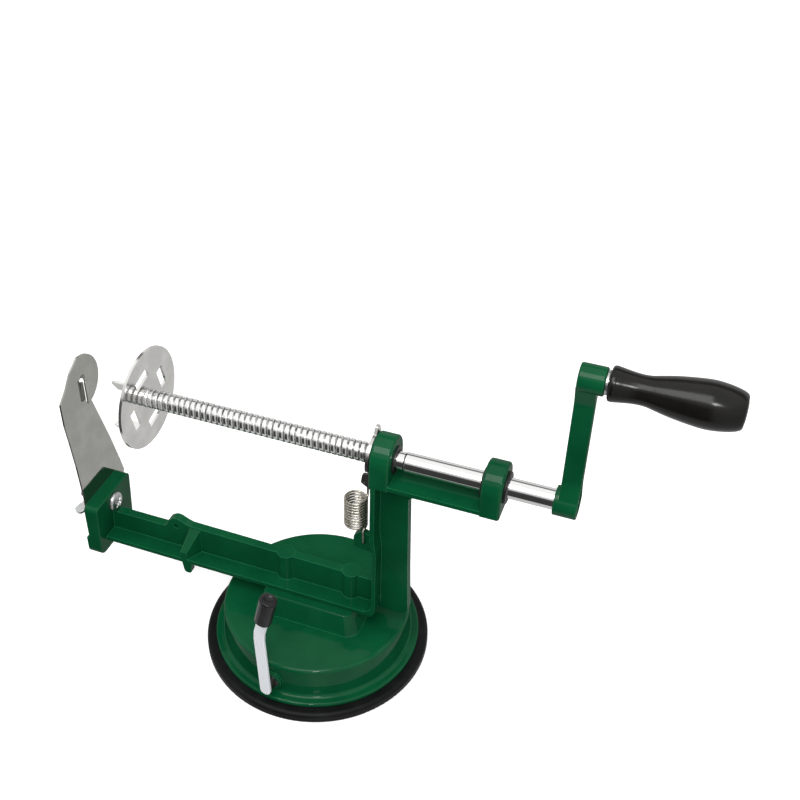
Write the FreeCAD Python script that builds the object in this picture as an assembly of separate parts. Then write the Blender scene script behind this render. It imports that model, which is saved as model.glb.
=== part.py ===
import FreeCAD, Part
import math
import os
from FreeCAD import Vector

# Tornado potato cutter. Millimetres. X runs along the shaft toward the crank,
# Y runs to the back, Z is up. The origin is the middle of the base's underside.

# Driving dimensions
SHAFT_Z = 140.0
SHAFT_R = 5.0
RUN = 0.05
RING_R = 61.0
FLANGE_R = 55.8
WALL_R = 50.85
TOP_R = 50.3
BASE_TOP = 27.7
PLATFORM_TOP = 38.0
WEB = 2.3
FLANGE_HALF = 11.0
BEARING_R = 11.2
BEARING_Z = 141.0
DISC_X = -89.8
DISC_R = 26.8
BLADE_X = -129.5
BLADE_R = 14.3
BLADE_RISE = 2.4
BLADE_HOLE = 1.4
PLATE_BOLT_Z = 58.5
CRANK_THROW = 70.0
GRIP_Z = SHAFT_Z + CRANK_THROW
ARM_FACE = 129.7
ARM_FLOOR = 127.0
LEVER_TURN = -4.73
CAP_LONG = 17.6
AXLE_Z = 16.0
SPRING_X = 22.4
SPRING_COIL_R = 5.5
SPRING_WIRE_R = 0.58
SPRING_TURNS = 10
SPRING_TOP = 121.7

X_AXIS = Vector(1, 0, 0)
Y_AXIS = Vector(0, 1, 0)
Z_AXIS = Vector(0, 0, 1)

os.makedirs("parts", exist_ok=True)


def write(name, shape):
    """Write one node and print what it is made of."""
    box = shape.BoundBox
    print(name, "valid", shape.isValid(), "solids", len(shape.Solids), "volume", round(shape.Volume, 1),
          "x", round(box.XMin, 2), round(box.XMax, 2), "z", round(box.ZMin, 2), round(box.ZMax, 2))
    shape.exportStep("parts/" + name + ".step")


def rod(radius, start, end):
    """Round bar between two points."""
    along = Vector(*end) - Vector(*start)
    return Part.makeCylinder(radius, along.Length, Vector(*start), along)


def rod_x(radius, low, high, z=SHAFT_Z, y=0.0):
    """Round bar along X."""
    return rod(radius, (low, y, z), (high, y, z))


def rod_z(radius, low, high, x=0.0, y=0.0):
    """Round bar along Z."""
    return rod(radius, (x, y, low), (x, y, high))


def rod_y(radius, low, high, x=0.0, z=0.0):
    """Round bar along Y."""
    return rod(radius, (x, low, z), (x, high, z))


def block(x, y, z):
    """Box from three pairs of limits."""
    return Part.makeBox(x[1] - x[0], y[1] - y[0], z[1] - z[0], Vector(x[0], y[0], z[0]))


def outline(corners, place):
    """Closed wire through corners (a, b) or (a, b, radius), each corner rounded by its radius."""
    count = len(corners)
    flat = [Vector(c[0], c[1], 0) for c in corners]
    radii = [c[2] if len(c) > 2 else 0.0 for c in corners]
    starts, ends, mids = [], [], []
    for i in range(count):
        here = flat[i]
        back = (flat[i - 1] - here).normalize()
        ahead = (flat[(i + 1) % count] - here).normalize()
        if radii[i] <= 0:
            starts.append(here)
            ends.append(here)
            mids.append(None)
            continue
        half = 0.5 * math.acos(max(-1.0, min(1.0, back.dot(ahead))))
        run = radii[i] / math.tan(half)
        centre = here + (back + ahead).normalize() * (radii[i] / math.sin(half))
        starts.append(here + back * run)
        ends.append(here + ahead * run)
        mids.append(centre + (here - centre).normalize() * radii[i])
    edges = []
    for i in range(count):
        if mids[i] is not None:
            points = [place(p.x, p.y) for p in (starts[i], mids[i], ends[i])]
            edges.append(Part.Arc(*points).toShape())
        after = starts[(i + 1) % count]
        if (after - ends[i]).Length > 1e-6:
            edges.append(Part.makeLine(place(ends[i].x, ends[i].y), place(after.x, after.y)))
    return Part.Wire(edges)


def plate_xz(corners, low, high):
    """Plate in the XZ plane from y low to y high."""
    wire = outline(corners, lambda a, b: Vector(a, low, b))
    return Part.Face(wire).extrude(Vector(0, high - low, 0))


def plate_yz(corners, low, high):
    """Plate in the YZ plane from x low to x high."""
    wire = outline(corners, lambda a, b: Vector(low, a, b))
    return Part.Face(wire).extrude(Vector(high - low, 0, 0))


def turned_z(corners):
    """Body turned about Z from corners (radius, z)."""
    wire = outline(corners, lambda a, b: Vector(a, 0, b))
    return Part.Face(wire).revolve(Vector(0, 0, 0), Z_AXIS, 360)


def turned_x(corners, z=SHAFT_Z):
    """Body turned about a line along X at height z from corners (x, radius)."""
    wire = outline(corners, lambda a, b: Vector(a, 0, z + b))
    return Part.Face(wire).revolve(Vector(0, 0, z), X_AXIS, 360)


def joined(first, *others):
    """One solid from several."""
    shape = first
    for other in others:
        shape = shape.fuse(other)
    return shape.removeSplitter()


def less(shape, *others):
    """Shape with others cut away."""
    for other in others:
        shape = shape.cut(other)
    return shape.removeSplitter()


def mirrored(shape):
    """Copy on the other side of the XZ plane."""
    return shape.mirror(Vector(0, 0, 0), Y_AXIS)


def softened(shape, radius, wanted):
    """Fillet the edges that the test accepts."""
    edges = [e for e in shape.Edges if wanted(e)]
    return shape.makeFillet(radius, edges) if edges else shape


def to_lever_side(shape):
    """Turn a shape built on the YZ plane to where the lever sits."""
    return shape.rotated(Vector(0, 0, 0), Z_AXIS, LEVER_TURN)


def strip(points, width, low, high):
    """Flat bar in the XZ plane along points, with round joints and ends."""
    parts = [rod_y(width / 2, low, high, x, z) for x, z in points]
    for (x0, z0), (x1, z1) in zip(points, points[1:]):
        side = Vector(z0 - z1, x1 - x0, 0).normalize() * (width / 2)
        corners = [(x0 + side.x, z0 + side.y), (x0 - side.x, z0 - side.y)]
        corners += [(x1 - side.x, z1 - side.y), (x1 + side.x, z1 + side.y)]
        parts.append(plate_xz(corners, low, high))
    return joined(*parts)


# Base housing: a turned shell, a sloped platform, screw holes, stud guide and axle boss
shell_profile = [
    (0, 24.7), (47.3, 24.7, 2.0), (47.6, 6.0), (FLANGE_R, 6.0, 0.5), (FLANGE_R, 8.6, 0.9),
    (WALL_R, 8.6, 2.2), (TOP_R, BASE_TOP, 2.0), (0, BASE_TOP),
]
platform_steps = [(26.9, -29.5, 30.3, 20.5, 7.5), (PLATFORM_TOP, -25.0, 24.5, 15.7, 4.0)]
platform_wires = []
for height, left, right, side, corner in platform_steps:
    ring = [(left, -side, corner), (right, -side, corner), (right, side, corner), (left, side, corner)]
    platform_wires.append(outline(ring, lambda a, b, h=height: Vector(a, b, h)))
platform = Part.makeLoft(platform_wires, True, True)
platform = softened(platform, 0.9, lambda e: e.BoundBox.ZMin > PLATFORM_TOP - 0.01)
axle_boss = to_lever_side(softened(rod_y(5.7, -52.3, -38.0, 0, AXLE_Z), 0.6, lambda e: e.BoundBox.YMax < -52))
housing = joined(turned_z(shell_profile), platform, axle_boss)
housing = less(housing, block((-11, 13.5), (-12, 12), (20, 34)))
housing = joined(housing, rod_z(6.0, 26.2, 35.0))
housing = less(housing, rod_z(3.0 + RUN, 20, 34.5), to_lever_side(rod_y(4.0 + RUN, -60, -30, 0, AXLE_Z)))
SCREW_PLACES = {"base_screw_left": -17.2, "base_screw_right": 20.0}
for place in SCREW_PLACES.values():
    housing = less(housing, rod_z(2.45, 20, 40, place))
write("base_housing", housing)

# Rubber ring that the part stands on
ring_profile = [
    (RING_R, 0, 1.2), (RING_R, 5.9, 2.2), (47.0, 5.9, 1.0), (44.0, 4.4, 1.5), (27.0, 4.4, 0.8),
    (27.0, 1.6, 0.8), (46.0, 1.6, 3.0), (50.0, 0, 1.0),
]
write("suction_ring", turned_z(ring_profile))

# Rubber middle and the stud that lifts it
write("suction_centre", turned_z([(0, 2.7), (24.0, 2.7, 0.8), (24.0, 5.2, 0.8), (0, 5.2)]))
stud = joined(turned_z([(0, 5.2), (20.0, 5.2), (20.0, 7.2, 0.8), (0, 7.2)]), rod_z(4.0, 7.0, 12.5),
              block((-8.5, 8.5), (-5, 5), (12, 25)), rod_z(3.0, 24.5, 33.5))
stud = less(stud, block((-6.5, 6.5), (-6, 6), (15.7, 21.7)))
write("suction_stud", to_lever_side(stud))

# Cam axle, lever, cap, washer and clip
axle = joined(rod_y(4.0, -52.1, -9.0, 0, AXLE_Z), rod_y(2.0, -58.2, -52.0, 0, AXLE_Z),
              rod_y(2.5, -9.5, 5.4, 0, AXLE_Z + 2.5))
write("cam_axle", to_lever_side(axle))
lever_line = [(0.0, AXLE_Z), (-1.65, 54.0), (-1.3, 59.0), (0.9, 67.9), (4.2, 82.0)]
lever = softened(strip(lever_line, 5.8, -58.8, -57.2), 0.3, lambda e: e.BoundBox.YMax < -58.7)
lever = less(lever, rod_y(2.0 + RUN, -58.25, -56, 0, AXLE_Z))
write("suction_lever", to_lever_side(lever))
cap_ring = [(-4.4, -62.0, 3.9), (4.4, -62.0, 3.9), (4.4, -54.0, 3.9), (-4.4, -54.0, 3.9)]
cap = Part.Face(outline(cap_ring, lambda a, b: Vector(a, b, 0))).extrude(Vector(0, 0, CAP_LONG))
cap = softened(cap, 0.9, lambda e: e.BoundBox.ZLength < 0.01)
cap = less(cap, Part.makeSphere(5.0, Vector(0, -58.0, CAP_LONG + 4.2)))
cap = cap.rotated(Vector(0, 0, 0), Y_AXIS, 13.0).translated(Vector(1.25, 0, 69.0))
cap = less(cap, lever)
write("lever_cap", to_lever_side(cap))
washer = less(rod_y(2.8, -57.15, -52.4, 0, AXLE_Z), rod_y(2.0 + RUN, -58, -52, 0, AXLE_Z))
write("lever_washer", to_lever_side(washer))
clip = less(rod_y(6.3, -37.6, -36.6, 0, AXLE_Z), rod_y(4.03, -38, -36, 0, AXLE_Z))
write("axle_clip", to_lever_side(clip))

# Frame casting: web in the middle plane, flange plates, bearings, blade plate, ribs and bosses
web_outline = [
    (-124.0, 38.5), (-124.0, 53.0), (-88.0, 53.0, 3.0), (-86.6, 58.0, 2.0), (-82.0, 61.4, 5.0), (-76.5, 58.6, 2.0),
    (-73.0, 57.4, 1.0), (30.0, 56.3, 3.0), (35.4, 56.3), (35.4, 130.0), (88.0, 130.0), (88.0, 124.2),
    (60.0, 120.3, 8.0), (50.2, 120.2, 2.6), (51.3, 70.0), (52.4, 37.5, 5.0), (36.0, 37.5), (34.0, 38.5),
]
flange_outline = [
    (-124.0, 38.0), (34.8, 38.0, 2.2), (37.1, 42.0), (37.1, 84.0, 6.0), (35.9, 92.0, 6.0), (35.9, 131.0), (33.6, 131.0),
    (33.6, 92.0, 6.0), (35.2, 84.0, 6.0), (35.2, 44.0), (31.5, 40.6, 2.5), (-124.0, 40.6),
]
casting_parts = [
    plate_xz(web_outline, -WEB, WEB),
    plate_xz(flange_outline, -FLANGE_HALF, FLANGE_HALF),
    block((36.0, 90.0), (-FLANGE_HALF, FLANGE_HALF), (128.7, 131.1)),
]
for low, high in ((32.4, 42.5), (86.4, 96.3)):
    bearing = joined(rod_x(BEARING_R, low, high, BEARING_Z),
                     block((low, high), (-BEARING_R, BEARING_R), (128.3, BEARING_Z)))
    casting_parts.append(softened(bearing, 1.4, lambda e: e.BoundBox.XLength < 0.01 and e.BoundBox.ZMax > 129))
plate_corners = [(-17.5, 30.3, 5.0), (17.5, 30.3, 5.0), (17.5, 66.1, 3.0), (-17.5, 66.1, 3.0)]
blade_plate = plate_yz(plate_corners, BLADE_X, -121.3)
draft = plate_xz([(-123.3, 29.0), (-118.0, 29.0), (-118.0, 66.2), (-121.3, 66.2)], -20, 20)
blade_plate = softened(less(blade_plate, draft), 0.7, lambda e: e.BoundBox.XMin > -124 and e.BoundBox.XLength < 2.5)
ledge = plate_yz([(-17.5, 30.3, 5.0), (17.5, 30.3, 5.0), (17.5, 43.0), (-17.5, 43.0)], -131.2, BLADE_X)
casting_parts += [blade_plate, ledge]
for place in SCREW_PLACES.values():
    casting_parts.append(rod_z(5.0, PLATFORM_TOP, 57.0, place))
web_end = [(-73.2, 40.0), (-67.0, 40.0), (-67.0, 57.4), (-73.2, 57.4)]
front_end = [(-76.0, 40.0), (-72.3, 40.0), (-72.3, 45.3), (-76.0, 45.3)]
rib = Part.makeLoft([outline(web_end, lambda a, b: Vector(a, -1.5, b)),
                     outline(front_end, lambda a, b: Vector(a, -FLANGE_HALF, b))], True, True)
lug = plate_xz([(-75.8, 40.0), (-74.4, 30.8, 1.7), (-70.4, 30.8, 1.7), (-69.2, 40.0)], -FLANGE_HALF, -7.5)
casting_parts += [rib, mirrored(rib), lug, mirrored(lug)]
spring_lug = [(21.8, 77.0, 1.5), (36.0, 75.0), (36.0, 90.5), (31.0, 86.6, 2.0), (25.6, 88.4, 2.6), (21.8, 84.6, 2.6)]
casting_parts.append(plate_xz(spring_lug, -1.7, 1.7))
casting = joined(*casting_parts)
casting = less(casting, rod_x(6.5, 30, 45), rod_x(7.0, 80, 100), rod_x(2.7, -135, -118, PLATE_BOLT_Z),
               rod_y(1.5, -5, 5, -82.0, 54.8), rod_x(1.5, 30, 41, 131.0, 8.0), rod_y(0.9, -5, 5, 27.43, 81.0))
for place in SCREW_PLACES.values():
    casting = less(casting, rod_z(2.35, 36, 51, place))

write("frame_casting", casting)

# Screws that hold the frame on the base
for name, place in SCREW_PLACES.items():
    write(name, joined(rod_z(2.3, 23.0, 50.0, place), turned_z([(0, 21.4), (4.6, 21.4, 1.2), (4.6, 24.6), (0, 24.6)])
                       .translated(Vector(place, 0, 0))))

# Bushes
front_bush = turned_x([(33.0, 0), (33.0, 6.47), (42.55, 6.47), (42.55, 6.9), (43.4, 6.9, 0.4), (43.4, 0)])
write("front_bush", less(front_bush, rod_x(SHAFT_R + RUN, 30, 50)))
turning = turned_x([(85.2, 0), (85.2, 7.4, 0.4), (86.3, 7.4), (86.3, 6.95), (96.4, 6.95), (96.4, 7.7),
                    (97.6, 7.7, 0.5), (97.6, 0)])
write("turning_bush", less(turning, rod_x(SHAFT_R + RUN, 80, 100)))

# Feed shaft: threaded length, neck, smooth length, and a spigot for the disc
shaft = turned_x([(-95.6, 0), (-95.6, 2.5, 0.4), (DISC_X, 2.5), (DISC_X, SHAFT_R), (42.2, SHAFT_R), (42.9, 4.3),
                  (45.1, 4.3), (45.8, SHAFT_R), (124.5, SHAFT_R, 0.5), (124.5, 0)])
write("feed_shaft", less(shaft, rod_x(2.0, 110, 130)))

# Pusher disc with four windows, each with its tongue bent toward the blade
disc = rod_x(DISC_R, DISC_X - 1.5, DISC_X)
for number in range(4):
    turn = 15 + 90 * number
    window = block((-95, -85), (-2.65, 2.65), (-6.0, 6.0)).translated(Vector(0, 14.4, 0))
    tongue_corners = [(DISC_X - 0.4, -2.65), (DISC_X - 0.4, 2.65), (-101.2, 2.65), (-103.0, 1.6), (-100.4, -2.65)]
    wire = outline(tongue_corners, lambda a, b: Vector(a, 14.4 + b, 6.0))
    tongue = Part.Face(wire).extrude(Vector(0, 0, 1.4))
    window = window.rotated(Vector(0, 0, 0), X_AXIS, turn).translated(Vector(0, 0, SHAFT_Z))
    tongue = tongue.rotated(Vector(0, 0, 0), X_AXIS, turn).translated(Vector(0, 0, SHAFT_Z))
    disc = joined(less(disc, window), tongue)
write("pusher_disc", less(disc, rod_x(2.5 + RUN, -100, -80)))
hexagon = [(4.6 * math.cos(math.radians(60 * i)), SHAFT_Z + 4.6 * math.sin(math.radians(60 * i))) for i in range(6)]
nut = plate_yz(hexagon, DISC_X - 4.9, DISC_X - 1.55)
write("disc_nut", less(nut, rod_x(2.5 + RUN, -100, -80)))

# Crank arm with hub and grip boss, its screw, and the grip with pin, washer and plug
arm_corners = [(-6.3, 141.5), (6.3, 141.5), (2.6, 153.0, 8.0), (2.3, 198.0, 8.0), (5.4, 207.5), (-5.4, 207.5),
               (-2.3, 198.0, 8.0), (-2.6, 153.0, 8.0)]
groove_corners = [(-5.0, 141.5), (5.0, 141.5), (1.4, 154.0, 8.0), (1.2, 200.5, 1.1), (-1.2, 200.5, 1.1), (-1.4, 154.0, 8.0)]
arm = plate_yz(arm_corners, 120.8, ARM_FACE)
arm = softened(arm, 0.5, lambda e: e.BoundBox.XLength < 0.01 and e.BoundBox.ZLength > 5)
hub = softened(rod_x(7.0, 118.8, ARM_FACE), 0.5, lambda e: e.BoundBox.XLength < 0.01)
grip_boss = softened(rod_x(6.3, 121.0, 132.5, GRIP_Z), 0.8, lambda e: e.BoundBox.XLength < 0.01)
groove = joined(plate_yz(groove_corners, ARM_FLOOR, 131.0), rod_x(5.5, ARM_FLOOR, 131.0))
crank = less(joined(arm, hub, grip_boss), groove)
crank = less(crank, rod_x(SHAFT_R + 0.02, 110, 124.55), rod_x(2.1, 110, 140), rod_x(3.02, 110, 140, GRIP_Z))
write("crank_arm", crank)
screw_head = [(ARM_FLOOR + 0.05, 0), (ARM_FLOOR + 0.05, 4.2), (ARM_FLOOR + 2.3, 4.2, 1.2), (ARM_FLOOR + 2.3, 0)]
write("crank_screw", joined(rod_x(1.95, 112, ARM_FLOOR + 1.0), turned_x(screw_head)))
grip_profile = [
    (133.9, 7.78), (137, 7.55), (140, 7.1), (143.5, 6.65), (146.6, 6.45), (150, 6.65), (153, 7.3), (156, 7.95),
    (159, 8.55), (162, 9.05), (165.5, 9.55), (168.5, 9.9), (171.6, 10.2), (174.7, 10.3), (177.7, 10.1),
    (181, 9.65), (184, 9.0), (186.6, 8.1), (187.8, 7.3), (188.3, 6.4),
]
curve = Part.BSplineCurve()
curve.interpolate([Vector(x, 0, GRIP_Z + r) for x, r in grip_profile])
side = curve.toShape()
first, last = grip_profile[0], grip_profile[-1]
grip_edges = [
    Part.makeLine(Vector(first[0], 0, GRIP_Z), Vector(first[0], 0, GRIP_Z + first[1])), side,
    Part.makeLine(Vector(last[0], 0, GRIP_Z + last[1]), Vector(last[0], 0, GRIP_Z)),
    Part.makeLine(Vector(last[0], 0, GRIP_Z), Vector(first[0], 0, GRIP_Z)),
]
grip = Part.Face(Part.Wire(grip_edges)).revolve(Vector(0, 0, GRIP_Z), X_AXIS, 360)
grip = softened(grip, 1.1, lambda e: e.BoundBox.XMax < 134 and e.BoundBox.YLength > 10)
write("grip", less(grip, rod_x(3.0 + RUN, 130, 185, GRIP_Z), rod_x(5.0, 182.5, 190, GRIP_Z)))
write("grip_plug", turned_x([(186.6, 0), (186.6, 4.98), (188.5, 4.98, 0.8), (188.5, 0)], GRIP_Z))
pin = joined(rod_x(3.0, 121.8, 182.9, GRIP_Z), rod_x(4.6, 182.8, 185.8, GRIP_Z))
write("grip_pin", pin)
write("grip_washer", less(rod_x(5.4, 132.55, 133.55, GRIP_Z), rod_x(3.0 + RUN, 130, 135, GRIP_Z)))

# Blade: flat sheet with one half-disc lobe that climbs toward the slit
sheet_corners = [
    (-15.0, 43.5, 2.0), (-15.0, 71.5), (-16.4, 94.0), (-18.2, 112.0), (-19.6, 124.0), (-19.7, 137.5, 1.5),
    (-13.3, 143.2, 3.0), (-8.0, 149.6, 4.0), (0.0, SHAFT_Z + BLADE_R), (0.4, SHAFT_Z + BLADE_R), (0.4, 139.0),
    (1.4, 138.2), (1.4, 124.8), (6.1, 122.8, 0.8), (10.6, 108.7), (16.4, 90.3), (22.1, 69.6), (24.5, 60.0, 3.0),
    (20.0, 43.5, 3.0),
]
sheet = plate_yz(sheet_corners, BLADE_X - 1.0, BLADE_X)
inner = Part.makeHelix(2 * BLADE_RISE, BLADE_RISE, BLADE_HOLE, 0, True)
outer = Part.makeHelix(2 * BLADE_RISE, BLADE_RISE, BLADE_R, 0, True)
lobe = Part.makeRuledSurface(inner.Edges[0], outer.Edges[0]).extrude(Vector(0, 0, -1.0))
turn = FreeCAD.Matrix(0, 0, 1, BLADE_X, 0, -1, 0, 0, 1, 0, 0, SHAFT_Z, 0, 0, 0, 1)
lobe = Part.Solid(lobe.Solids[0]) if lobe.Solids else lobe
lobe = lobe.transformGeometry(turn)
blade = joined(less(sheet, rod_x(BLADE_HOLE, -135, -120)), lobe)
blade = less(blade, rod_x(2.7, -135, -120, PLATE_BOLT_Z))
write("spiral_blade", blade)

# Blade bolt, washer and wing nut
bolt = joined(rod_x(2.5, -142.0, -120.0, PLATE_BOLT_Z),
              turned_x([(-121.25, 0), (-121.25, 5.5), (-118.8, 5.5, 1.8), (-118.8, 0)], PLATE_BOLT_Z))
write("blade_bolt", bolt)
write("wing_washer", less(rod_x(6.8, -131.5, -130.55, PLATE_BOLT_Z), rod_x(2.6, -135, -128, PLATE_BOLT_Z)))
wing = [(-132.2, 3.0), (-131.8, 6.5, 1.0), (-137.0, 13.0, 1.6), (-142.0, 12.2, 2.2), (-138.0, 5.0, 2.0), (-137.0, 3.0)]
wire = outline(wing, lambda a, b: Vector(a, b, PLATE_BOLT_Z - 1.0))
wing = Part.Face(wire).extrude(Vector(0, 0, 2.0))
wing_body = turned_x([(-131.55, 0), (-131.55, 5.6), (-138.0, 4.4, 1.0), (-138.0, 0)], PLATE_BOLT_Z)
nut = joined(wing_body, wing, mirrored(wing))
nut = less(nut, rod_x(2.5 + RUN, -145, -128, PLATE_BOLT_Z))
write("wing_nut", nut.rotated(Vector(0, 0, PLATE_BOLT_Z), X_AXIS, 19))

# Release catch: plate beside the front bearing with a tooth over the thread and an arm for the spring
CATCH = (30.6, 32.1)
upper = rod_x(10.7, CATCH[0], CATCH[1]).common(block(CATCH, (-12, 12), (137.0, 152.0)))
lower_corners = [(-3.0, 117.0), (4.5, 117.0), (4.5, 127.4), (10.6, 127.4, 3.0), (10.5, 138.0), (-10.5, 138.0),
                 (-4.6, 131.0, 2.0), (-3.0, 128.0)]
tip_corners = [(-5.0, 144.0), (0.6, 149.6, 1.0), (3.6, 154.0, 0.8), (6.4, 153.6, 0.8), (8.8, 146.0)]
catch_arm = plate_xz([(25.0, 120.6, 0.8), (CATCH[1], 115.6), (CATCH[1], 127.0), (25.8, 126.0, 1.2)], -0.75, 0.75)
catch = joined(upper, plate_yz(lower_corners, *CATCH), plate_yz(tip_corners, *CATCH), catch_arm)
catch = less(catch, rod_x(SHAFT_R + 0.1, 25, 40), rod_x(6.2, 25, 40, 138.2, -1.6), rod_x(1.55, 25, 40, 131.0, 8.0),
             rod_y(0.95, -3, 3, 27.44, SPRING_TOP))
write("release_catch", catch)
write("catch_pin", joined(rod_x(1.47, 29.5, 40.8, 131.0, 8.0), rod_x(2.6, 29.3, 30.4, 131.0, 8.0)))

# Extension spring: close coils with a straight hooked leg at each end


def arc_to(start, heading, end):
    """Arc that leaves start along heading and reaches end, with its heading there."""
    chord = end - start
    aside = chord - heading * chord.dot(heading)
    if aside.Length < 1e-7:
        return Part.makeLine(start, end)
    aside.normalize()
    radius = chord.dot(chord) / (2 * chord.dot(aside))
    centre = start + aside * radius
    middle = centre + ((start + end) * 0.5 - centre).normalize() * radius
    return Part.Arc(start, middle, end).toShape()


def two_arcs(start, first_way, end, last_way):
    """Two arcs that join smoothly between two points with their headings."""
    chord = end - start
    ways = first_way + last_way
    spread = 2 * (1 - first_way.dot(last_way))
    along = chord.dot(ways)
    if spread < 1e-9:
        if abs(chord.dot(first_way) - chord.Length) < 1e-7:
            return [Part.makeLine(start, end)]
        reach = chord.dot(chord) / (2 * along)
    else:
        reach = (-along + math.sqrt(along * along + spread * chord.dot(chord))) / spread
    joint = (start + first_way * reach + end - last_way * reach) * 0.5
    return [arc_to(start, first_way, joint), arc_to(end, last_way * -1, joint)]


LOW_TURN = math.radians(-10)
HIGH_TURN = math.radians(10) + 2 * math.pi * SPRING_TURNS
LOW_Z = 91.4
HIGH_Z = 109.6
BEND = 2.2


def coil_station(angle):
    """Point and heading on the coil at an angle."""
    climb = (HIGH_Z - LOW_Z) / (HIGH_TURN - LOW_TURN)
    point = Vector(SPRING_X + SPRING_COIL_R * math.cos(angle), SPRING_COIL_R * math.sin(angle),
                   LOW_Z + climb * (angle - LOW_TURN))
    heading = Vector(-SPRING_COIL_R * math.sin(angle), SPRING_COIL_R * math.cos(angle), climb)
    return point, heading.normalize()


quarters = 4 * SPRING_TURNS + 1
stations = [coil_station(LOW_TURN + (HIGH_TURN - LOW_TURN) * i / quarters) for i in range(quarters + 1)]
low_point, low_way = stations[0]
high_point, high_way = stations[-1]
low_leg = Vector(low_point.x - BEND * low_way.x, low_point.y - BEND * low_way.y, 0)
high_leg = Vector(high_point.x + BEND * high_way.x, high_point.y + BEND * high_way.y, 0)
down_ends = [
    (Vector(low_leg.x, 3.4, 81.0), Y_AXIS * -1), (Vector(low_leg.x, low_leg.y + BEND, 81.0), Y_AXIS * -1),
    (Vector(low_leg.x, low_leg.y, 81.0 + BEND), Z_AXIS), (Vector(low_leg.x, low_leg.y, low_point.z - BEND - 0.1), Z_AXIS),
]
up_ends = [
    (Vector(high_leg.x, high_leg.y, high_point.z + BEND + 0.1), Z_AXIS),
    (Vector(high_leg.x, high_leg.y, SPRING_TOP - BEND), Z_AXIS),
    (Vector(high_leg.x, high_leg.y - BEND, SPRING_TOP), Y_AXIS * -1), (Vector(high_leg.x, -2.2, SPRING_TOP), Y_AXIS * -1),
]
stations = down_ends + stations + up_ends
spring_edges = []
for (here, way), (there, way_there) in zip(stations, stations[1:]):
    spring_edges += two_arcs(here, way, there, way_there)
path = Part.Wire(Part.__sortEdges__(spring_edges))
profile = Part.Wire(Part.makeCircle(SPRING_WIRE_R, stations[0][0], stations[0][1]))
pipe = Part.BRepOffsetAPI.MakePipeShell(path)
pipe.add(profile)
pipe.build()
pipe.makeSolid()
spring = pipe.shape()
write("extension_spring", spring)

# Least gap of the spring to itself, from points along its centre line
points = path.discretize(Number=1400)
step = path.Length / 1399
apart = int(4.0 / step)
least = 1e9
for i in range(0, len(points), 2):
    for k in range(i + apart, len(points), 2):
        least = min(least, (points[i] - points[k]).Length)
print("spring least gap to itself", round(least - 2 * SPRING_WIRE_R, 2), "mm; legs at x", round(low_leg.x, 2),
      round(high_leg.x, 2), "y", round(low_leg.y, 2), round(high_leg.y, 2))
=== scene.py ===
import math

import bpy
import numpy as np
from mathutils import Matrix, Vector


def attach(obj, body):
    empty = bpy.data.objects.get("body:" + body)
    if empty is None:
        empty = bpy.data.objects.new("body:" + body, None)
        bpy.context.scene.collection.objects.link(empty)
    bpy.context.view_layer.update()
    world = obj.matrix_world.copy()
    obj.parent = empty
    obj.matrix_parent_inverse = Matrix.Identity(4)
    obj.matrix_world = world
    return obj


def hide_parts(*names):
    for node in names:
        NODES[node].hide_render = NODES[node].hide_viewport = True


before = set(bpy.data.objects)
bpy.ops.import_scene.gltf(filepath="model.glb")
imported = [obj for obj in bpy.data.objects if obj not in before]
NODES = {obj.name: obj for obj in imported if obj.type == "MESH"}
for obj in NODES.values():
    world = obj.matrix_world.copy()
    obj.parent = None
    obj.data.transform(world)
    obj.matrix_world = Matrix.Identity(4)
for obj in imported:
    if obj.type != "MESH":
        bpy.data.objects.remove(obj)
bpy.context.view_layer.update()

MM = 0.001

# Driving values, in millimetres, as the solids have them
SHAFT_Z = 140.0
SHAFT_R = 5.0
TIP_Z = 150.0
PITCH = 3.0
THREAD_DEPTH = 0.62
THREAD_LOW, THREAD_HIGH = -89.8, 42.2
NECK_LOW, NECK_HIGH = 42.9, 47.2
NECK_R = 4.6
SHAFT_END = 124.5
SPIGOT_LOW, SPIGOT_R = -95.6, 2.5
GRIP_Z = 210.0
BOLT_Z = 58.5
BOLT_FACE = -121.25
CRANK_FACE = 127.05
EDGE_SAMPLES = 6


# Camera at the photograph's viewing angle

IMAGE_PX = 800.0
SENSOR_MM = 36.0
FOCAL_PX = 1132.95
AXIS_PX = 350.28
AZIMUTH = math.radians(21.2)
ELEVATION = math.radians(37.76)
EYE_MM = Vector((169.02, -385.87, 489.61))

right_way = Vector((math.cos(AZIMUTH), math.sin(AZIMUTH), 0.0))
back_way = Vector((math.sin(AZIMUTH) * math.cos(ELEVATION), -math.cos(AZIMUTH) * math.cos(ELEVATION),
                   math.sin(ELEVATION)))
up_way = back_way.cross(right_way)
camera_data = bpy.data.cameras.new("camera")
camera_data.sensor_width = SENSOR_MM
camera_data.lens = FOCAL_PX / IMAGE_PX * SENSOR_MM
camera_data.shift_x = (IMAGE_PX / 2 - AXIS_PX) / IMAGE_PX
camera_data.clip_start = 0.01
camera = bpy.data.objects.new("camera", camera_data)
bpy.context.collection.objects.link(camera)
turn = Matrix((right_way, up_way, back_way)).transposed().to_4x4()
camera.matrix_world = Matrix.Translation(EYE_MM * MM) @ turn
bpy.context.scene.camera = camera


# Shader writing: a wrapped socket with arithmetic, and one method for every other node

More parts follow.
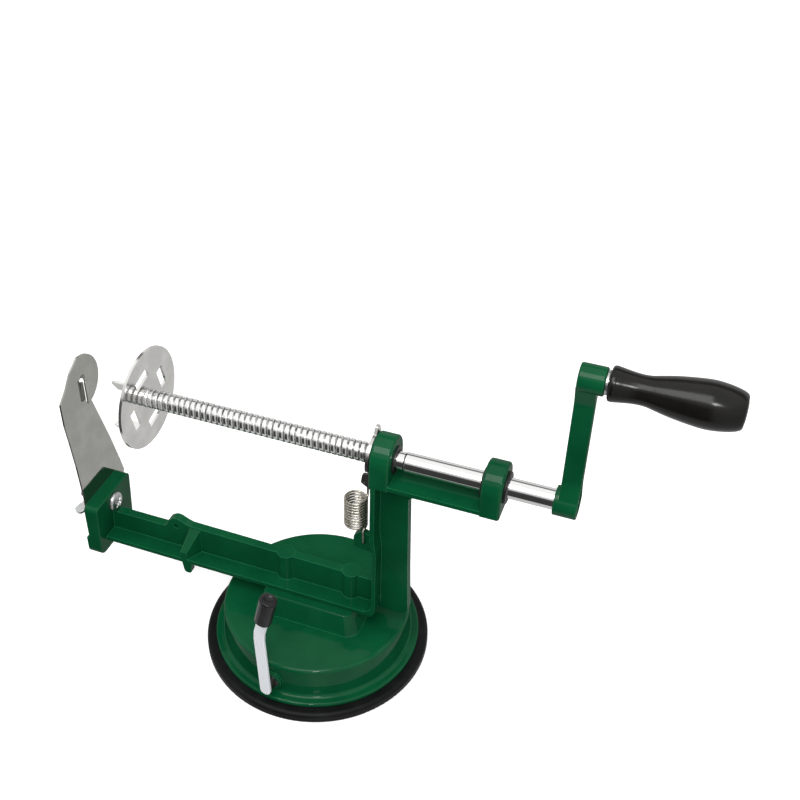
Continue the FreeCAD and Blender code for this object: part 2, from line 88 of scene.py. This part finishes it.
class Value:
    """A socket in a graph. Arithmetic on it adds Math nodes to that graph."""

    def __init__(self, graph, socket):
        self.graph = graph
        self.socket = socket

    def math(self, operation, *others):
        return self.graph.node("ShaderNodeMath", {"operation": operation}, dict(enumerate(others)))

    def __add__(self, other):
        return self.math("ADD", self, other)

    def __radd__(self, other):
        return self.math("ADD", other, self)

    def __sub__(self, other):
        return self.math("SUBTRACT", self, other)

    def __rsub__(self, other):
        return self.math("SUBTRACT", other, self)

    def __mul__(self, other):
        return self.math("MULTIPLY", self, other)

    def __rmul__(self, other):
        return self.math("MULTIPLY", other, self)

    def __pow__(self, other):
        return self.math("POWER", self, other)

    def between(self, low, high):
        """0 below low, 1 above high, smooth between."""
        settings = {"interpolation_type": "SMOOTHSTEP"}
        return self.graph.node("ShaderNodeMapRange", settings, {0: self, 1: low, 2: high})


class Graph:
    """A node tree, with one method that adds any node."""

    def __init__(self, tree):
        self.tree = tree

    def put(self, socket, value):
        if isinstance(value, Value):
            self.tree.links.new(value.socket, socket)
        else:
            socket.default_value = value

    def node(self, kind, settings=None, inputs=None, output=0):
        made = self.tree.nodes.new(kind)
        for key, value in (settings or {}).items():
            setattr(made, key, value)
        for key, value in (inputs or {}).items():
            self.put(made.inputs[key], value)
        return Value(self, made.outputs[output])


class Finish(Graph):
    """One surface finish on a Principled shader, patterned on Object coordinates in metres."""

    def __init__(self, name, color, **constants):
        self.material = bpy.data.materials.new(name)
        self.material.use_nodes = True
        super().__init__(self.material.node_tree)
        self.shader = self.tree.nodes["Principled BSDF"]
        self.put(self.shader.inputs["Base Color"], (*color, 1.0))
        for key, value in constants.items():
            self.put(self.shader.inputs[key.replace("_", " ")], value)
        self.place = self.node("ShaderNodeTexCoord", output="Object")

    def stretched(self, x=1.0, y=1.0, z=1.0):
        """Object coordinates scaled along each axis."""
        inputs = {"Vector": self.place, "Scale": (x, y, z)}
        return self.node("ShaderNodeMapping", {"vector_type": "POINT"}, inputs)

    def noise(self, size_mm, detail=2.0, rough=0.5, where=None):
        """Cloudy pattern, 0 to 1, with features of about size_mm, on coordinates that may be stretched."""
        inputs = {"Vector": where or self.place, "Scale": 1.0 / (size_mm * MM), "Detail": detail,
                  "Roughness": rough}
        return self.node("ShaderNodeTexNoise", None, inputs)

    def cells(self, size_mm):
        """Distance from scattered points about size_mm apart."""
        inputs = {"Vector": self.place, "Scale": 1.0 / (size_mm * MM)}
        return self.node("ShaderNodeTexVoronoi", None, inputs, "Distance")

    def blend(self, factor, low, high):
        """Colour between two colours."""
        settings = {"data_type": "RGBA"}
        low, high = (c if isinstance(c, Value) else (*c, 1.0) for c in (low, high))
        return self.node("ShaderNodeMix", settings, {0: factor, 6: low, 7: high}, 2)

    def along(self, axis):
        """One component of the Object coordinates, in millimetres."""
        return self.node("ShaderNodeSeparateXYZ", None, {0: self.place}, axis) * 1000.0

    def rounded(self, radius_mm):
        """Normal that turns smoothly round edges, as on a casting."""
        return self.node("ShaderNodeBevel", {"samples": EDGE_SAMPLES}, {"Radius": radius_mm * MM})

    def edges(self, soft):
        """0 on flat stretches, 1 where the rounded normal leaves the face's own."""
        hard = self.node("ShaderNodeNewGeometry", output="Normal")
        same = self.node("ShaderNodeVectorMath", {"operation": "DOT_PRODUCT"}, {0: soft, 1: hard}, "Value")
        return (1.0 - same).between(0.01, 0.2)

    def surface(self, **values):
        for key, value in values.items():
            self.put(self.shader.inputs[key.replace("_", " ")], value)

    def bump(self, height, depth_mm, strength=1.0, normal=None):
        inputs = {"Strength": strength, "Distance": depth_mm * MM, "Height": height}
        if normal:
            inputs["Normal"] = normal
        self.surface(Normal=self.node("ShaderNodeBump", None, inputs))

    def dress(self, *names):
        for name in names:
            wear(NODES[name], self)


def wear(piece, finish):
    """Give every slot of a piece one finish."""
    if not piece.data.materials:
        piece.data.materials.append(finish.material)
    for number in range(len(piece.data.materials)):
        piece.data.materials[number] = finish.material


# Finishes

def green_enamel():
    """Glossy green paint over a casting: orange peel, slow change of shade, a painted highlight on the
    edges.
    """
    made = Finish("green_enamel", (0.003, 0.06, 0.022), Roughness=0.5, Specular_IOR_Level=0.0,
                  Coat_Roughness=0.05)
    soft = made.rounded(0.7)
    edge_highlight = made.edges(soft)
    cloud = made.noise(24.0, 3.0)
    shade = made.blend(cloud.between(0.3, 0.7), (0.0015, 0.050, 0.018), (0.0028, 0.067, 0.024))
    # Painted highlight: the rounded edges are blended toward light green, as if they caught the light.
    shade = made.blend(edge_highlight * 0.6, shade, (0.022, 0.20, 0.088))
    speck = made.noise(0.8, 1.0).between(0.74, 0.8)
    shade = made.blend(speck * 0.3, shade, (0.02, 0.2, 0.09))
    made.surface(Base_Color=shade, Coat_Weight=0.2 + cloud * 0.12 + edge_highlight * 0.8)
    made.bump(made.noise(2.4, 1.5) + made.noise(11.0) * 2.5, 0.03, 0.5, soft)
    return made


def rubber(name, dark, light, rough, grain_mm, shine):
    """Rubber: fine moulded grain, dusty patches, soft sheen."""
    made = Finish(name, dark, Specular_IOR_Level=shine)
    dust = made.noise(9.0, 4.0).between(0.45, 0.75)
    made.surface(Base_Color=made.blend(dust, dark, light), Roughness=rough + made.noise(3.0) * 0.12)
    made.bump(made.noise(grain_mm, 3.0) + made.noise(6.0), 0.05, 0.5)
    return made


def polished_steel():
    """Turned and polished bar: fine rings round X and faint smears."""
    made = Finish("polished_steel", (0.5, 0.5, 0.5), Metallic=1.0)
    rings = made.noise(1.4, 2.0, 0.6, made.stretched(6.0, 0.15, 0.15))
    smear = made.noise(7.0, 3.0)
    made.surface(Base_Color=made.blend(smear, (0.62, 0.62, 0.62), (0.72, 0.72, 0.71)),
                 Roughness=0.06 + rings * 0.07 + smear.between(0.5, 0.8) * 0.06)
    made.bump(rings, 0.004, 0.3)
    return made


def thread_steel():
    """Rolled thread: bright crests, dark grease in the grooves, small dents and glints."""
    made = Finish("thread_steel", (0.5, 0.5, 0.5), Metallic=1.0)
    y, z = made.along(1), made.along(2) - SHAFT_Z
    radius = (y * y + z * z) ** 0.5
    groove = 1.0 - radius.between(SHAFT_R - THREAD_DEPTH, SHAFT_R - 0.12)
    grease_and_shade = groove * (0.45 + made.noise(2.0, 3.0).between(0.35, 0.65) * 0.55)
    dents = made.noise(1.1, 3.0)
    made.surface(Base_Color=made.blend(grease_and_shade, (0.72, 0.72, 0.71), (0.05, 0.05, 0.05)),
                 Roughness=0.13 + grease_and_shade * 0.3 + dents * 0.1)
    made.bump(dents + made.noise(0.5, 2.0) * 0.5, 0.02, 0.5)
    return made


def sheet_steel(name, tint, rough, metal, wave, y=1.0, z=1.0):
    """Rolled stainless sheet: faint grain drawn out along y or z, soft waves, fingerprints."""
    made = Finish(name, tint)
    grain = made.noise(0.35, 3.0, 0.6, made.stretched(y=y, z=z))
    smear = made.noise(11.0, 4.0)
    darker = tuple(c * 0.86 for c in tint)
    made.surface(Base_Color=made.blend(smear.between(0.35, 0.7), darker, tint),
                 Metallic=metal + smear * 0.05,
                 Roughness=rough + grain * 0.06 + smear.between(0.5, 0.75) * 0.06)
    made.bump(grain * 0.2 + made.noise(16.0, 1.0) * wave, 0.012, 0.4)
    return made


def catch_with_painted_shade():
    """Catch plate, which rides on the thread: bright at its free tip, darker below it with painted shade.
    """
    made = Finish("catch_steel", (0.5, 0.49, 0.47), Metallic=1.0)
    grain = made.noise(0.4, 3.0, 0.6, made.stretched(x=0.1))
    # Painted shade: darker from about 6 mm below the tip downward, by height, with a ragged border.
    grease_and_shade = 1.0 - (made.along(2) + made.noise(4.0, 3.0) * 4.0).between(TIP_Z - 6.0, TIP_Z)
    made.surface(Base_Color=made.blend(grease_and_shade, (0.52, 0.51, 0.49), (0.10, 0.10, 0.095)),
                 Roughness=0.16 + grain * 0.1 + grease_and_shade * 0.18)
    made.bump(grain, 0.01, 0.3, made.rounded(0.25))
    return made


def zinc_steel(name, dark, light):
    """Plated or oiled hardware: small crystals in slightly different greys."""
    made = Finish(name, light, Metallic=1.0)
    crystal = made.cells(0.8)
    made.surface(Base_Color=made.blend(crystal, dark, light), Roughness=0.2 + crystal * 0.2)
    made.bump(crystal + made.noise(0.6), 0.01, 0.3, made.rounded(0.25))
    return made


def lever_steel():
    """Tumbled and plated strip, nearly white, with fine pits and scuffs."""
    made = Finish("lever_steel", (0.80, 0.82, 0.85), IOR=1.5)
    pits = made.noise(0.5, 3.0)
    scuff = made.noise(0.9, 2.0, 0.5, made.stretched(1.0, 1.0, 0.12)).between(0.55, 0.75)
    made.surface(Base_Color=made.blend(scuff * 0.6, (0.82, 0.845, 0.88), (0.66, 0.68, 0.71)),
                 Metallic=0.25 + scuff * 0.2, Roughness=0.38 + pits * 0.12)
    made.bump(pits, 0.015, 0.4, made.rounded(0.3))
    return made


def nylon():
    """Black moulded nylon with a faint turned grain."""
    made = Finish("black_nylon", (0.006, 0.006, 0.006), Specular_IOR_Level=0.3)
    grain = made.noise(0.5, 3.0)
    made.surface(Base_Color=made.blend(grain, (0.004, 0.004, 0.004), (0.010, 0.010, 0.010)),
                 Roughness=0.4 + grain * 0.15)
    made.bump(grain, 0.02, 0.4)
    return made


def gloss_black():
    """Moulded glossy black handle: soft waves, hairline scratches, a warm cast where it is handled."""
    made = Finish("gloss_black", (0.004, 0.004, 0.004), IOR=1.45, Specular_IOR_Level=0.24)
    scratch = made.noise(0.6, 2.0, 0.5, made.stretched(0.08, 1.0, 1.0)).between(0.68, 0.75)
    haze = made.noise(8.0, 3.0)
    made.surface(Base_Color=made.blend(haze, (0.003, 0.003, 0.003), (0.009, 0.008, 0.007)),
                 Roughness=0.13 + haze * 0.12 + scratch * 0.15)
    made.bump(made.noise(9.0, 1.0) * 2.0 + scratch * -0.3 + made.noise(0.7) * 0.3, 0.015, 0.4)
    return made


def spring_wire():
    """Hard drawn wire: warm bright metal with draw lines and dark spots."""
    made = Finish("spring_wire", (0.70, 0.66, 0.58), Metallic=1.0)
    spot = made.noise(1.2, 4.0)
    made.surface(Base_Color=made.blend(spot.between(0.4, 0.7), (0.50, 0.475, 0.415), (0.24, 0.215, 0.17)),
                 Roughness=0.18 + spot * 0.2)
    made.bump(spot, 0.01, 0.3)
    return made


enamel = green_enamel()
ring_rubber = rubber("ring_rubber", (0.0028, 0.003, 0.0032), (0.006, 0.0062, 0.0066), 0.42, 0.8, 0.12)
cap_rubber = rubber("cap_rubber", (0.006, 0.0062, 0.0066), (0.012, 0.012, 0.013), 0.22, 0.5, 0.22)
bright = polished_steel()
threaded = thread_steel()
blade_steel = sheet_steel("blade_steel", (0.40, 0.398, 0.37), 0.03, 0.95, z=0.04, wave=3.0)
disc_steel = sheet_steel("disc_steel", (0.68, 0.672, 0.65), 0.05, 0.92, y=0.06, wave=2.0)
catch_steel = catch_with_painted_shade()
zinc = zinc_steel("zinc_steel", (0.34, 0.345, 0.35), (0.50, 0.505, 0.505))
oiled = zinc_steel("oiled_steel", (0.06, 0.06, 0.06), (0.13, 0.13, 0.125))
strip_steel = lever_steel()
bush_nylon = nylon()
grip_black = gloss_black()
wire = spring_wire()

enamel.dress("base_housing", "frame_casting", "crank_arm")
ring_rubber.dress("suction_ring", "suction_centre")
cap_rubber.dress("lever_cap")
bright.dress("feed_shaft")
blade_steel.dress("spiral_blade")
catch_steel.dress("release_catch")
disc_steel.dress("pusher_disc")
oiled.dress("lever_washer")
zinc.dress("suction_stud", "cam_axle", "axle_clip", "base_screw_left", "base_screw_right",
           "disc_nut", "crank_screw", "grip_pin", "grip_washer", "blade_bolt", "wing_nut", "wing_washer",
           "catch_pin")
strip_steel.dress("suction_lever")
bush_nylon.dress("front_bush", "turning_bush")
grip_black.dress("grip", "grip_plug")
wire.dress("extension_spring")


# Surfaces worked out on grids

def grid_mesh(name, points, finish, body):
    """Closed mesh from an array of points[u, v, 3] in millimetres: quads along both parameters, joined
    round v, with an end face over the first and the last ring. All faces are turned over if the volume
    comes out negative, so that they point outwards."""
    rows, columns = points.shape[:2]
    a, b = (g.ravel() for g in np.meshgrid(np.arange(rows - 1), np.arange(columns), indexing="ij"))
    after = (b + 1) % columns
    here, ahead = a * columns, (a + 1) * columns
    quads = np.stack([here + b, ahead + b, ahead + after, here + after], 1)
    corners = (points * MM).reshape(-1, 3)
    p = (corners - corners.mean(0))[quads]
    volume = np.sum(p[:, 0] * np.cross(p[:, 1], p[:, 2])) + np.sum(p[:, 0] * np.cross(p[:, 2], p[:, 3]))
    ends = [np.arange(columns)[::-1], np.arange(columns) + (rows - 1) * columns]
    faces = [face.tolist() for face in [*quads, *ends]]
    if volume < 0:
        faces = [face[::-1] for face in faces]
    mesh = bpy.data.meshes.new(name)
    mesh.from_pydata(corners.tolist(), [], faces)
    mesh.polygons.foreach_set("use_smooth", np.arange(len(faces)) < len(quads))
    mesh.update()
    piece = bpy.data.objects.new(name, mesh)
    bpy.context.collection.objects.link(piece)
    piece.data.materials.append(finish.material)
    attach(piece, body)
    return piece


def round_x(x, radius, around, z=SHAFT_Z):
    """Points of a surface turned about the line along X at height z: (x, r cos t, z + r sin t)."""
    return np.stack([x + 0 * around, radius * np.cos(around), z + radius * np.sin(around)], -1)


def smoothed(corners, step):
    """Smooth curve through corners (x, r): cubic pieces, with the slope at each corner taken from its
    neighbours."""
    line = np.array(corners, float)
    run = np.concatenate([[0.0], np.cumsum(np.linalg.norm(np.diff(line, axis=0), axis=1))])
    slope = np.gradient(line, run, axis=0)
    at = np.linspace(0, run[-1], int(run[-1] / step))
    k = np.clip(np.searchsorted(run, at, side="right") - 1, 0, len(run) - 2)
    length = (run[k + 1] - run[k])[:, None]
    u = (at - run[k])[:, None] / length
    start = (1 + 2 * u) * (1 - u) ** 2 * line[k] + u * (1 - u) ** 2 * length * slope[k]
    return start + u * u * (3 - 2 * u) * line[k + 1] + u * u * (u - 1) * length * slope[k + 1]


def straight(corners, step):
    """Points every step along straight runs between corners (x, r)."""
    line = np.array(corners, float)
    run = np.concatenate([[0.0], np.cumsum(np.linalg.norm(np.diff(line, axis=0), axis=1))])
    at = np.unique(np.concatenate([run, np.arange(0, run[-1], step)]))
    return np.stack([np.interp(at, run, line[:, i]) for i in (0, 1)], 1)


def turned_piece(name, profile, finish, body, z=SHAFT_Z, around_count=96):
    """Surface of revolution of a profile (x, r) about the line along X at height z."""
    t = np.linspace(0, 2 * math.pi, around_count, endpoint=False)[None, :]
    return grid_mesh(name, round_x(profile[:, :1], profile[:, 1:], t, z), finish, body)


def feed_thread():
    """Right-hand thread: r = R - depth * (1 + cos(pi * min(d / w, 1))) / 2, where d is the distance, in
    turns, of x / pitch - t / 2 pi from a whole number and w the groove's half width. The crests stay flat,
    and the depth fades in over run_in and out over one pitch."""
    per_turn, around_count, half_width, run_in = 24, 72, 0.27, 2.0
    count = int((THREAD_HIGH - THREAD_LOW) / PITCH * per_turn)
    x = np.linspace(THREAD_LOW, THREAD_HIGH, count)[:, None]
    t = np.linspace(0, 2 * math.pi, around_count, endpoint=False)[None, :]
    away = np.abs((x / PITCH - t / (2 * math.pi) + 0.5) % 1.0 - 0.5)
    groove = 0.5 + 0.5 * np.cos(math.pi * np.minimum(away / half_width, 1.0))
    fade = np.clip((THREAD_HIGH - x) / PITCH, 0.0, 1.0) * np.clip((x - THREAD_LOW) / run_in, 0.0, 1.0)
    radius = SHAFT_R - THREAD_DEPTH * groove * fade
    return grid_mesh("feed_thread", round_x(x, radius, t), threaded, "screw")


def pan_head(name, face_x, radius, height, z, body):
    """Domed screw head on a face toward +X: ring radius R cos(q)^0.6 and rise H sin(q)^0.8 for q from 0 to
    90 degrees, with a cross recess. The recess is the deeper of two crossed bars, whose depth fades at
    their sides and ends."""
    bar_half, bar_reach, side_fade, end_fade = 0.85, 0.62 * radius, 0.35, 0.5
    q = np.linspace(0.0, 0.5 * math.pi, 72)[:, None]
    t = np.linspace(0, 2 * math.pi, 96, endpoint=False)[None, :]
    ring = np.maximum(radius * np.cos(q) ** 0.6, 0.02)
    y, up = ring * np.cos(t), ring * np.sin(t)

    def bar(across, lengthwise):
        side = np.clip((bar_half - np.abs(across)) / side_fade, 0.0, 1.0)
        return side * np.clip((bar_reach - np.abs(lengthwise)) / end_fade, 0.0, 1.0)

    turned_y, turned_up = (y + up) * math.sqrt(0.5), (up - y) * math.sqrt(0.5)
    recess = np.maximum(bar(turned_y, turned_up), bar(turned_up, turned_y))
    x = face_x + height * np.sin(q) ** 0.8 - 0.75 * height * recess * (np.sin(q) > 0.3)
    return grid_mesh(name, np.stack([x + 0 * t, y, z + up], -1), zinc, body)


def bolt_shank(name, low, high, radius, pitch, z, body):
    """Screw shank along X: r = R - depth * (1 + cos(2 pi (x / pitch - t / 2 pi))) / 2."""
    x = np.linspace(low, high, int((high - low) / pitch * 14))[:, None]
    t = np.linspace(0, 2 * math.pi, 40, endpoint=False)[None, :]
    wave = 0.5 + 0.5 * np.cos(2 * math.pi * x / pitch - t)
    end = np.clip((x - low) / 0.8, 0.0, 1.0)
    r = (radius - 0.3 * pitch * wave) * (0.85 + 0.15 * end)
    return grid_mesh(name, round_x(x, r, t, z), zinc, body)


thread = feed_thread()
turned_piece("feed_bar", straight(
    [(THREAD_HIGH - 0.5, 3.0), (THREAD_HIGH - 0.4, SHAFT_R - 0.4), (THREAD_HIGH, SHAFT_R - 0.05),
     (NECK_LOW, NECK_R), (NECK_HIGH, NECK_R), (NECK_HIGH + 0.7, SHAFT_R), (SHAFT_END - 0.5, SHAFT_R),
     (SHAFT_END, SHAFT_R - 0.5), (SHAFT_END, 2.0)], 0.4), bright, "screw")
turned_piece("disc_spigot", straight(
    [(SPIGOT_LOW, 0.2), (SPIGOT_LOW, SPIGOT_R - 0.4), (SPIGOT_LOW + 0.4, SPIGOT_R),
     (THREAD_LOW + 0.3, SPIGOT_R)], 0.5), zinc, "screw")
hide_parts("feed_shaft")

bolt_head = pan_head("bolt_head", BOLT_FACE, 5.5, 2.4, BOLT_Z, "base")
bolt_shank("bolt_thread", -142.0, BOLT_FACE, 2.5, 0.8, BOLT_Z, "base")
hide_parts("blade_bolt")

crank_head = pan_head("crank_head", CRANK_FACE, 4.2, 2.2, SHAFT_Z, "screw")
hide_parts("crank_screw")

# The handle's outline, (x, r): flared collar, neck, belly and rounded end
GRIP_CURVE = [
    (133.95, 6.7), (134.3, 7.4), (135.2, 7.72), (137, 7.55), (140, 7.1), (143.5, 6.65), (146.6, 6.45),
    (150, 6.65), (153, 7.3), (156, 7.95), (159, 8.55), (162, 9.05), (165.5, 9.55), (168.5, 9.9),
    (171.6, 10.2), (174.7, 10.3), (177.7, 10.1), (181, 9.65), (184, 9.0), (186.6, 8.1), (187.8, 7.3),
    (188.2, 6.4), (188.25, 5.6),
]
grip = turned_piece("grip_body", smoothed(GRIP_CURVE, 0.35), grip_black, "handle", GRIP_Z,
                    128)
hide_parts("grip")


# Stage: pale floor, soft studio light

def floor_finish():
    """Pale matt table that glows a little, so that shadows on it stay faint."""
    made = Finish("floor_pale", (0.86, 0.86, 0.86), Roughness=0.6, Emission_Color=(1.0, 1.0, 1.0, 1.0),
                  Emission_Strength=0.3)
    made.surface(Base_Color=made.blend(made.noise(60.0, 2.0), (0.85, 0.85, 0.85), (0.87, 0.87, 0.87)))
    return made


def stage_floor():
    """Pale floor seen by the camera alone, so that the metal reflects the studio and not a white table."""
    half = 6.0
    corners = [(-half, -half, 0), (half, -half, 0), (half, half, 0), (-half, half, 0)]
    mesh = bpy.data.meshes.new("floor")
    mesh.from_pydata(corners, [], [(0, 1, 2, 3)])
    floor = bpy.data.objects.new("floor", mesh)
    bpy.context.collection.objects.link(floor)
    mesh.materials.append(floor_finish().material)
    floor.visible_glossy = floor.visible_diffuse = floor.visible_transmission = False


def soft_light(name, place, size, watts):
    """Soft box aimed at the part, out of the camera's sight. Place and size are in metres."""
    aim = (0.0, 0.0, 0.1)
    data = bpy.data.lights.new(name, "AREA")
    data.shape = "RECTANGLE"
    data.size, data.size_y = size
    data.energy = watts
    light = bpy.data.objects.new(name, data)
    light.visible_camera = False
    bpy.context.collection.objects.link(light)
    light.location = place
    light.rotation_mode = "QUATERNION"
    light.rotation_quaternion = (Vector(place) - Vector(aim)).to_track_quat("Z", "Y")


def studio_room():
    """Room round the part, by direction: a broad white ceiling, light walls and ground, a dark screen low
    in front and a dark shelf high at the back. The backdrop itself is white."""
    room = bpy.data.worlds.new("studio")
    room.use_nodes = True
    graph = Graph(room.node_tree)
    way = graph.node("ShaderNodeTexCoord", output="Generated")
    x, y, z = (graph.node("ShaderNodeSeparateXYZ", None, {0: way}, axis) for axis in range(3))
    front = (0.0 - y).between(0.2, 0.5) * x.between(-0.65, -0.5) * (1.0 - x.between(0.05, 0.2))
    screen = front * (1.0 - z.between(0.25, 0.5)) * z.between(-0.8, -0.7)
    shelf = y.between(0.3, 0.5) * z.between(0.46, 0.54) * (1.0 - z.between(0.72, 0.82))
    glow = 0.75 + z.between(-0.1, 0.3) * 0.2 + z.between(0.55, 0.85) * 0.4
    glow = glow * (1.0 - screen * 0.93) * (1.0 - shelf * 0.8)
    seen = graph.node("ShaderNodeLightPath", output="Is Camera Ray")
    backdrop = room.node_tree.nodes["Background"]
    graph.put(backdrop.inputs["Strength"], glow * (1.0 - seen) + seen)
    graph.put(backdrop.inputs["Color"], (1.0, 1.0, 1.0, 1.0))
    return room


bpy.context.scene.view_settings.view_transform = "Standard"
stage_floor()
soft_light("key_light", (0.02, -0.28, 0.62), (0.36, 0.3), 1.9)
soft_light("front_light", (0.36, -0.98, 1.1), (0.14, 0.14), 4.5)
bpy.context.scene.world = studio_room()
